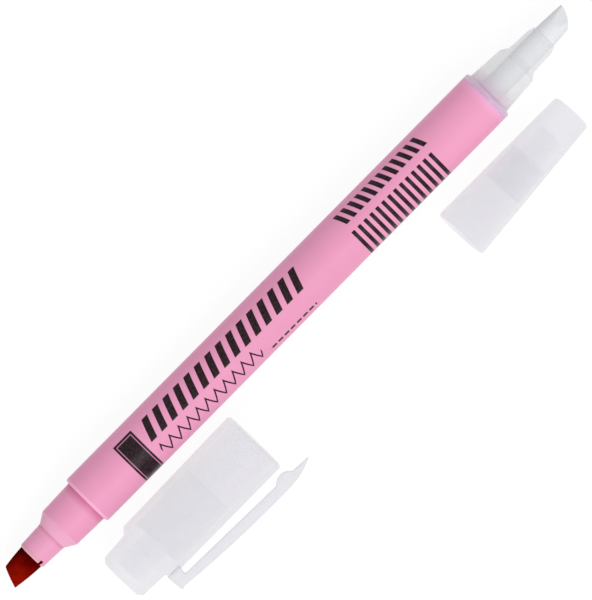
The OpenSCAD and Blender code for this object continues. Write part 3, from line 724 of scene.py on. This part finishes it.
def chisel_nib(tail_x, body_x, guide_end, out, d, end_w, slant, edge_t, flat_len, bow, even, around=160):
    """Points, quads, marks and end faces of a nib along +x: a thin tail from tail_x, a body of diameter d from body_x.
    Past guide_end, ring t has x = start + t (cut(y) - start), y = r cos a and z = r sin a, kept under the wedge height
    edge_t/2 + (tip - x) slope. The last rings shrink on the cut face cut(y), an arc of radius bow. The flanks close in
    by t to the power 1.5, or, if even, by the same amount at the same x on both sides."""
    tip, half_w = guide_end + out, end_w / 2
    slope = (d - edge_t) / 2 / flat_len
    lean, half_edge = math.radians(slant), end_w / 2 / math.cos(math.radians(slant))
    back = np.array([-math.sqrt(bow * bow - half_edge * half_edge), -half_edge])
    turn = np.array([[math.cos(lean), math.sin(lean)], [-math.sin(lean), math.cos(lean)]])
    cx, cy = np.array([tip, half_w]) + turn @ back

    def cut(y):
        return cx + np.sqrt(np.maximum(bow * bow - (y - cy) ** 2, 0.01))

    a = np.arange(around)[None, :] * (2 * math.pi / around)
    start = guide_end + 0.1
    shank = rounded([(tail_x, POLE_MM, 0), (tail_x, TAIL_R, TAIL_ROUND), (body_x, TAIL_R, 0.05),
                     (body_x, d / 2, STEP_ROUND), (start, d / 2, 0)], False)[0]
    rings = [np.stack(np.broadcast_arrays(x, r * np.cos(a[0]), r * np.sin(a[0])), -1) for x, r in shank]
    t = np.linspace(0, 1, 40)[1:, None]
    reach = (cut(half_w * np.cos(a)) - RIM_MM - start) / (tip - start) if even else np.ones_like(a)
    r = d / 2 + (half_w * FLARE - d / 2) * (t * reach) ** 1.5
    y, z = r * np.cos(a), r * np.sin(a)
    x = start + (cut(y) - RIM_MM - start) * t
    z = np.sign(z) * soft_min(np.abs(z), edge_t / 2 + (tip - x) * slope, WEDGE_SOFT_MM)
    rings += list(np.stack([x, y, z], -1))
    rim_y, rim_z = y[-1], z[-1]
    for phi in np.linspace(0, math.pi / 2, ARC_POINTS)[1:]:
        inset = RIM_MM * (1 - math.cos(phi))
        yy, zz = rim_y * (1 - inset / half_w), rim_z * (1 - inset / (edge_t / 2))
        rings.append(np.stack([cut(yy) - RIM_MM + RIM_MM * math.sin(phi), yy, zz], -1))
    border_y, border_z = rings[-1][:, 1], rings[-1][:, 2]
    for q in np.linspace(1, 0.01, 12)[1:]:
        rings.append(np.stack([cut(border_y * q), border_y * q, border_z * q], -1))
    return np.array(rings).reshape(-1, 3), face_grid(len(rings), around, False), {}, end_rings(len(rings), around)


print("chisel nib shape is ready")

# %% [markdown]
# The ink nib is soaked through, so its felt is a deep wet red. It is nearly black where it leaves the nozzle and
# lighter towards the tip and towards the side of the caps: painted shade on the round body by the nozzle and painted
# light on the wedge towards the tip and the lamp, broken up by soft patches of wet ink. The eraser nib holds a clear
# liquid and stays white. Both get strands along the pen and small pores from the same shared group.

# %% Felt finishes
def felt(name, dark, light, roughness, scale, bump_strength, sheen, specular=0.2, shade_to_light_span=None):
    """Rough Principled fibre: colour between dark and light by the strands, darker in the pores, bumped by both. Given
    a span (x from, x to) in mm, the colour goes from dark to light along the pen, aslant and in soft patches: painted
    shade at the dark end and painted light at the light end and on the side towards the lamp."""
    mat, n, l, shader, coords = new_material(name, roughness, specular)
    shader.inputs["Sheen Weight"].default_value = sheen
    shader.inputs["Sheen Roughness"].default_value = SHEEN_ROUGHNESS
    fibres = place_group(n, l, strands, Vector=coords, Scale=scale, Stretch=0.12)
    amount = fibres["Strands"]
    # Painted shade at the nozzle end and painted light towards the tip and the lamp's side; the noise patches are wet
    # ink.
    if shade_to_light_span is not None:
        start, end = shade_to_light_span
        x, y, _ = split(n, l, coords)
        along = maths(n, l, "MULTIPLY", x, 1 / MM)
        half_side = maths(n, l, "MULTIPLY", maths(n, l, "SUBTRACT", PEN_Y * MM, y), 0.5 / MM)
        leaning = maths(n, l, "SUBTRACT", along, half_side)
        lit_share = maths(n, l, "DIVIDE", maths(n, l, "SUBTRACT", leaning, start), end - start)
        patchy = maths(n, l, "MULTIPLY", maths(n, l, "SUBTRACT", noise(n, l, coords, 420.0), 0.5), 1.1)
        fine = maths(n, l, "MULTIPLY", maths(n, l, "SUBTRACT", amount, 0.5), 0.6)
        amount = maths(n, l, "ADD", maths(n, l, "ADD", lit_share, patchy), fine, clamp=True)
    tone = colour_mix(n, l, amount, dark, light)
    deep = tuple(c * 0.62 for c in dark)
    l.new(colour_mix(n, l, maths(n, l, "MULTIPLY", fibres["Pores"], 0.4), tone, deep), shader.inputs["Base Color"])
    rough = maths(n, l, "ADD", roughness - 0.08, maths(n, l, "MULTIPLY", fibres["Strands"], 0.16))
    l.new(rough, shader.inputs["Roughness"])
    bump_from(n, l, shader, fibres["Height"], bump_strength, depth_mm=0.05)
    return mat


ink_felt = felt(
    "ink_felt", (0.075, 0.0006, 0.0002), (0.29, 0.0055, 0.0006), roughness=0.55, scale=4200.0, bump_strength=0.5,
    sheen=0.0, specular=0.0, shade_to_light_span=(-62.8, -67.6))
white_felt = felt(
    "white_felt", (0.86, 0.865, 0.885), (0.93, 0.935, 0.955), roughness=0.75, scale=7000.0, bump_strength=0.30,
    sheen=0.5)
print("felts:", ink_felt.name, white_felt.name)

# %% [markdown]
# The two nibs use the same function with their own sizes. The ink nib points the other way, so its axis is turned half
# round: its long corner lies on the side of the caps, while that of the eraser nib lies on the far side.

# %% The two nibs
half_turn = pen_axis @ Matrix.Rotation(math.pi, 4, "Z")
ink_nib = piece("ink_nib_felt", half_turn, *chisel_nib(
    tail_x=-8.5, body_x=-0.85, guide_end=TUBE_LEN, out=5.80, d=4.78, end_w=3.48, slant=21, edge_t=1.1, flat_len=3.5,
    bow=28.0, even=True))
ink_nib.data.materials.append(ink_felt)
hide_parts("ink_nib")
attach(ink_nib, "pen")

eraser_nib = piece("eraser_nib_felt", pen_axis, *chisel_nib(
    tail_x=84.0, body_x=91.55, guide_end=GUIDE_END, out=5.95, d=4.36, end_w=3.7, slant=30, edge_t=1.8, flat_len=3.4,
    bow=5.8, even=False))
eraser_nib.data.materials.append(white_felt)
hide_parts("eraser_nib")
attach(eraser_nib, "pen")

# %% [markdown]
# The large cap is a cup with a narrow knob at its closed end. The profile starts on the axis outside the closed end,
# runs over the knob and the body to the mouth, and comes back inside: the barrel's bore, the rim, the pocket of the
# sealing sleeve and the small chamber in the knob. The sleeve is a piece of its own that was pushed in and never comes
# out.

# %% Large cap and its sleeve
large_profile = [
    (0, 0, 0), (0, 3.94, 0.25), (0.70, 4.64, 0.25), (5.83, 4.905, 0.15), (5.83, 5.135, 0.05), (6.73, 6.035, 0.35),
    (32.65, 6.25, 0.30), (CAP_LEN, 5.80, 0.12), (CAP_LEN, 5.40, 0.06), (32.75, 5.05, 0.12), (21.5, 5.05, 0.04),
    (21.5, 4.87, 0.04), (8.70, 4.87, 0.04), (8.70, 3.20, 0.08), (1.85, 3.05, 0.2), (1.40, 2.60, 0.2), (1.40, 0, 0)]
large_cap = turned_piece("large_cap_shell", large_profile, cap_axis, closed=False)
large_cap.data.materials.append(frosted_cap)
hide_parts("large_cap")
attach(large_cap, "large_cap")

large_seal_profile = [
    (8.70, 4.65, 0.10), (8.90, 4.85, 0.10), (21.5, 4.85, 0.10), (21.5, 4.65, 0.10), (21.2, 4.40, 0.40),
    (8.70, 4.40, 0.04)]
large_seal = turned_piece("large_cap_sleeve", large_seal_profile, cap_axis)
large_seal.data.materials.append(frosted_seal)
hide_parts("large_cap_seal")
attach(large_seal, "large_cap")

# %% [markdown]
# The pocket clip is moulded in one with the cap. Seen from the side it is an L: a short bridge stands up from the cap,
# then a long arm runs back over it. Its outside is one shallow bow that turns in at the tip, and its inside carries a
# round bead that grips the cloth. The surface is a rounded rectangle carried along that L between an outer and an inner
# line, while its width closes in towards the tip. At the bend the mesh follows the cap first and the arm after it.

# %% Lines of the clip
BEND_OUT, BEND_IN, TIP_X, BACK_Y = 6.36, 8.62, 37.52, -9.87
BOW_R, BOW_X, CURL_R, CURL_X = 220.0, 30.5, 14.2, 31.5
BEAD_R, BEAD_X, BEAD_Y = 2.3, 31.85, -9.43
NOSE_R, NOSE_X = 2.88, 34.72


def clip_lines():
    """Outer line, inner line and half width at matched steps: bridge up, quarter turns, then along the arm by x. Along
    the arm, the outer line is a shallow arc and then the tip's curl where that lies nearer the cap, and the inner line
    is a bent underside or the bead's circle, whichever is nearer the cap, with a soft corner between the two."""
    up = np.linspace(0, 1, 8)[:-1]
    outer = [np.stack([5.78 + 0.24 * up, -5.45 - 2.95 * up], 1)]
    inner = [np.stack([8.62 - 0.34 * up, -5.45 - 1.45 * up], 1)]
    turn = np.linspace(0, math.pi / 2, 9)
    outer.append(np.stack([BEND_OUT - 0.33 * np.cos(turn), -8.40 - 0.335 * np.sin(turn)], 1))
    inner.append(np.stack([BEND_IN - 0.34 * np.cos(turn), -6.92 - 0.31 * np.sin(turn)], 1))
    x = np.linspace(0, 1, 130)[1:]
    xo = BEND_OUT + (TIP_X - BEND_OUT) * x
    xi = BEND_IN + (TIP_X - BEND_IN) * x
    bow = BOW_R + BACK_Y - np.sqrt(BOW_R ** 2 - (xo - BOW_X) ** 2)
    curl = CURL_R + BACK_Y - np.sqrt(np.maximum(CURL_R ** 2 - (xo - CURL_X) ** 2, 1))
    yo = np.where(xo > CURL_X, np.maximum(bow, curl), bow)
    base = np.interp(xi, [7.88, BEAD_X, 37.0, 37.6], [-7.207, -8.05, -8.41, -8.47])
    bead = BEAD_Y + np.sqrt(np.maximum(BEAD_R ** 2 - (xi - BEAD_X) ** 2, 0))
    yi = -soft_min(-base, -bead, 0.25)
    outer.append(np.stack([xo, yo], 1))
    inner.append(np.stack([xi, yi], 1))
    outer, inner = np.concatenate(outer), np.concatenate(inner)
    mid = (outer[:, 0] + inner[:, 0]) / 2
    width = np.interp(mid, [8.9, 37.6], [2.1, 1.6])
    nose = np.sqrt(np.maximum(NOSE_R ** 2 - np.maximum(mid - NOSE_X, 0) ** 2, 0.02))
    return outer, inner, soft_min(width, nose, 0.3)


def rounded_bar(outer, inner, half_w, radius=0.38):
    """Rings between two lines: middle + unit(outer - inner) * u + z * v, where (u, v) runs round a rectangle of half
    thickness and half width whose corners have the given radius, at most 90% of the half thickness."""
    middle, across = (outer + inner) / 2, (outer - inner) / 2
    thick = np.maximum(np.linalg.norm(across, axis=1), 0.03)
    unit = across / thick[:, None]
    rho = np.minimum(radius, 0.9 * thick)
    a = (np.arange(4)[:, None] * (math.pi / 2) + np.linspace(0, math.pi / 2, ARC_POINTS)[None, :]).ravel()
    su = np.repeat([1, -1, -1, 1], ARC_POINTS)
    sv = np.repeat([1, 1, -1, -1], ARC_POINTS)
    u = (thick - rho)[:, None] * su + rho[:, None] * np.cos(a)
    v = (half_w - rho)[:, None] * sv + rho[:, None] * np.sin(a)
    flat = middle[:, None, :] + unit[:, None, :] * u[:, :, None]
    grid = np.concatenate([flat, v[:, :, None]], 2)
    rows, cols = grid.shape[:2]
    return grid.reshape(-1, 3), face_grid(rows, cols, False), {}, end_rings(rows, cols)


print("the clip's lines have", len(clip_lines()[0]), "steps")

# %% The clip
clip = piece("pocket_clip_arm", cap_axis, *rounded_bar(*clip_lines()))
clip.data.materials.append(frosted_clip)
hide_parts("pocket_clip")
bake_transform(clip)

# %% [markdown]
# The small cap covers the eraser end. Outside it is a plain cone with rounded ends. Inside it narrows in three steps: a
# mouth that slides over the holder's wide section, a pocket with the sealing sleeve, and a deep chamber for the nib.

# %% Small cap and its sleeve
small_profile = [
    (23.6, 0, 0), (23.6, 2.175, 0.15), (23.1, 2.675, 0.15), (17.6, 2.925, 0.04), (17.6, 3.59, 0.04), (10.6, 3.73, 0.04),
    (10.6, 3.85, 0.04), (0.35, 4.385, 0.1), (0, 4.535, 0.05), (0, 4.70, 0.10), (0.30, 5.00, 0.20), (28.25, 3.733, 0.22),
    (28.6, 3.40, 0.22), (28.6, 0, 0)]
small_cap = turned_piece("small_cap_shell", small_profile, small_axis, closed=False)
small_cap.data.materials.append(frosted_cap)
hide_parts("small_cap")
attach(small_cap, "small_cap")

small_seal_profile = [
    (10.6, 3.71, 0.10), (17.6, 3.57, 0.08), (17.6, 3.025, 0.10), (11.0, 3.025, 0.50), (10.6, 3.225, 0.15)]
small_seal = turned_piece("small_cap_sleeve", small_seal_profile, small_axis)
small_seal.data.materials.append(thick_seal)
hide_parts("small_cap_seal")
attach(small_seal, "small_cap")

# %% [markdown]
# Inside the barrel lie the two fibre rods, the film round each of them and the stopper between them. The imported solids
# have the right shape for these, so they stay and only get a finish. The end of the eraser rod shows faintly through
# the holder.

# %% Finishes of the pieces inside the barrel
ink_rod_fibre = felt(
    "ink_rod_fibre", (0.42, 0.02, 0.03), (0.62, 0.05, 0.07), roughness=0.7, scale=5200.0, bump_strength=0.3, sheen=0.0)
white_rod_fibre = felt(
    "white_rod_fibre", (0.82, 0.82, 0.80), (0.92, 0.92, 0.90), roughness=0.8, scale=5200.0, bump_strength=0.3,
    sheen=0.1)
rod_film = see_through(
    "rod_film", (0.84, 0.83, 0.80), (0.90, 0.89, 0.86), outside=0.55, inside=0.55, roughness=0.18, coat=0.2)


def white_plastic():
    """White Principled plastic with fine grain, for the stopper."""
    mat, n, l, shader, coords = new_material("white_stopper", roughness=0.45)
    grain = place_group(n, l, fine_grain, Vector=coords, Scale=2400.0, Rough_Low=0.4, Rough_High=0.5)
    l.new(colour_mix(n, l, grain["Tone"], (0.84, 0.84, 0.84), (0.92, 0.92, 0.92)), shader.inputs["Base Color"])
    l.new(grain["Rough"], shader.inputs["Roughness"])
    return mat


inside_finishes = {
    "ink_reservoir": ink_rod_fibre, "ink_reservoir_film": rod_film, "stopper": white_plastic(),
    "eraser_reservoir": white_rod_fibre, "eraser_reservoir_film": rod_film}
for node, finish in inside_finishes.items():
    slots = frame["nodes"][node].material_slots
    for slot in slots:
        slot.material = finish
    print(node, "takes", finish.name, "in", len(slots), "slot")

# %% [markdown]
# Last comes the view transform. The dressed model must stay inside the imported model's box.

# %% View transform
bpy.context.scene.view_settings.view_transform = "Standard"
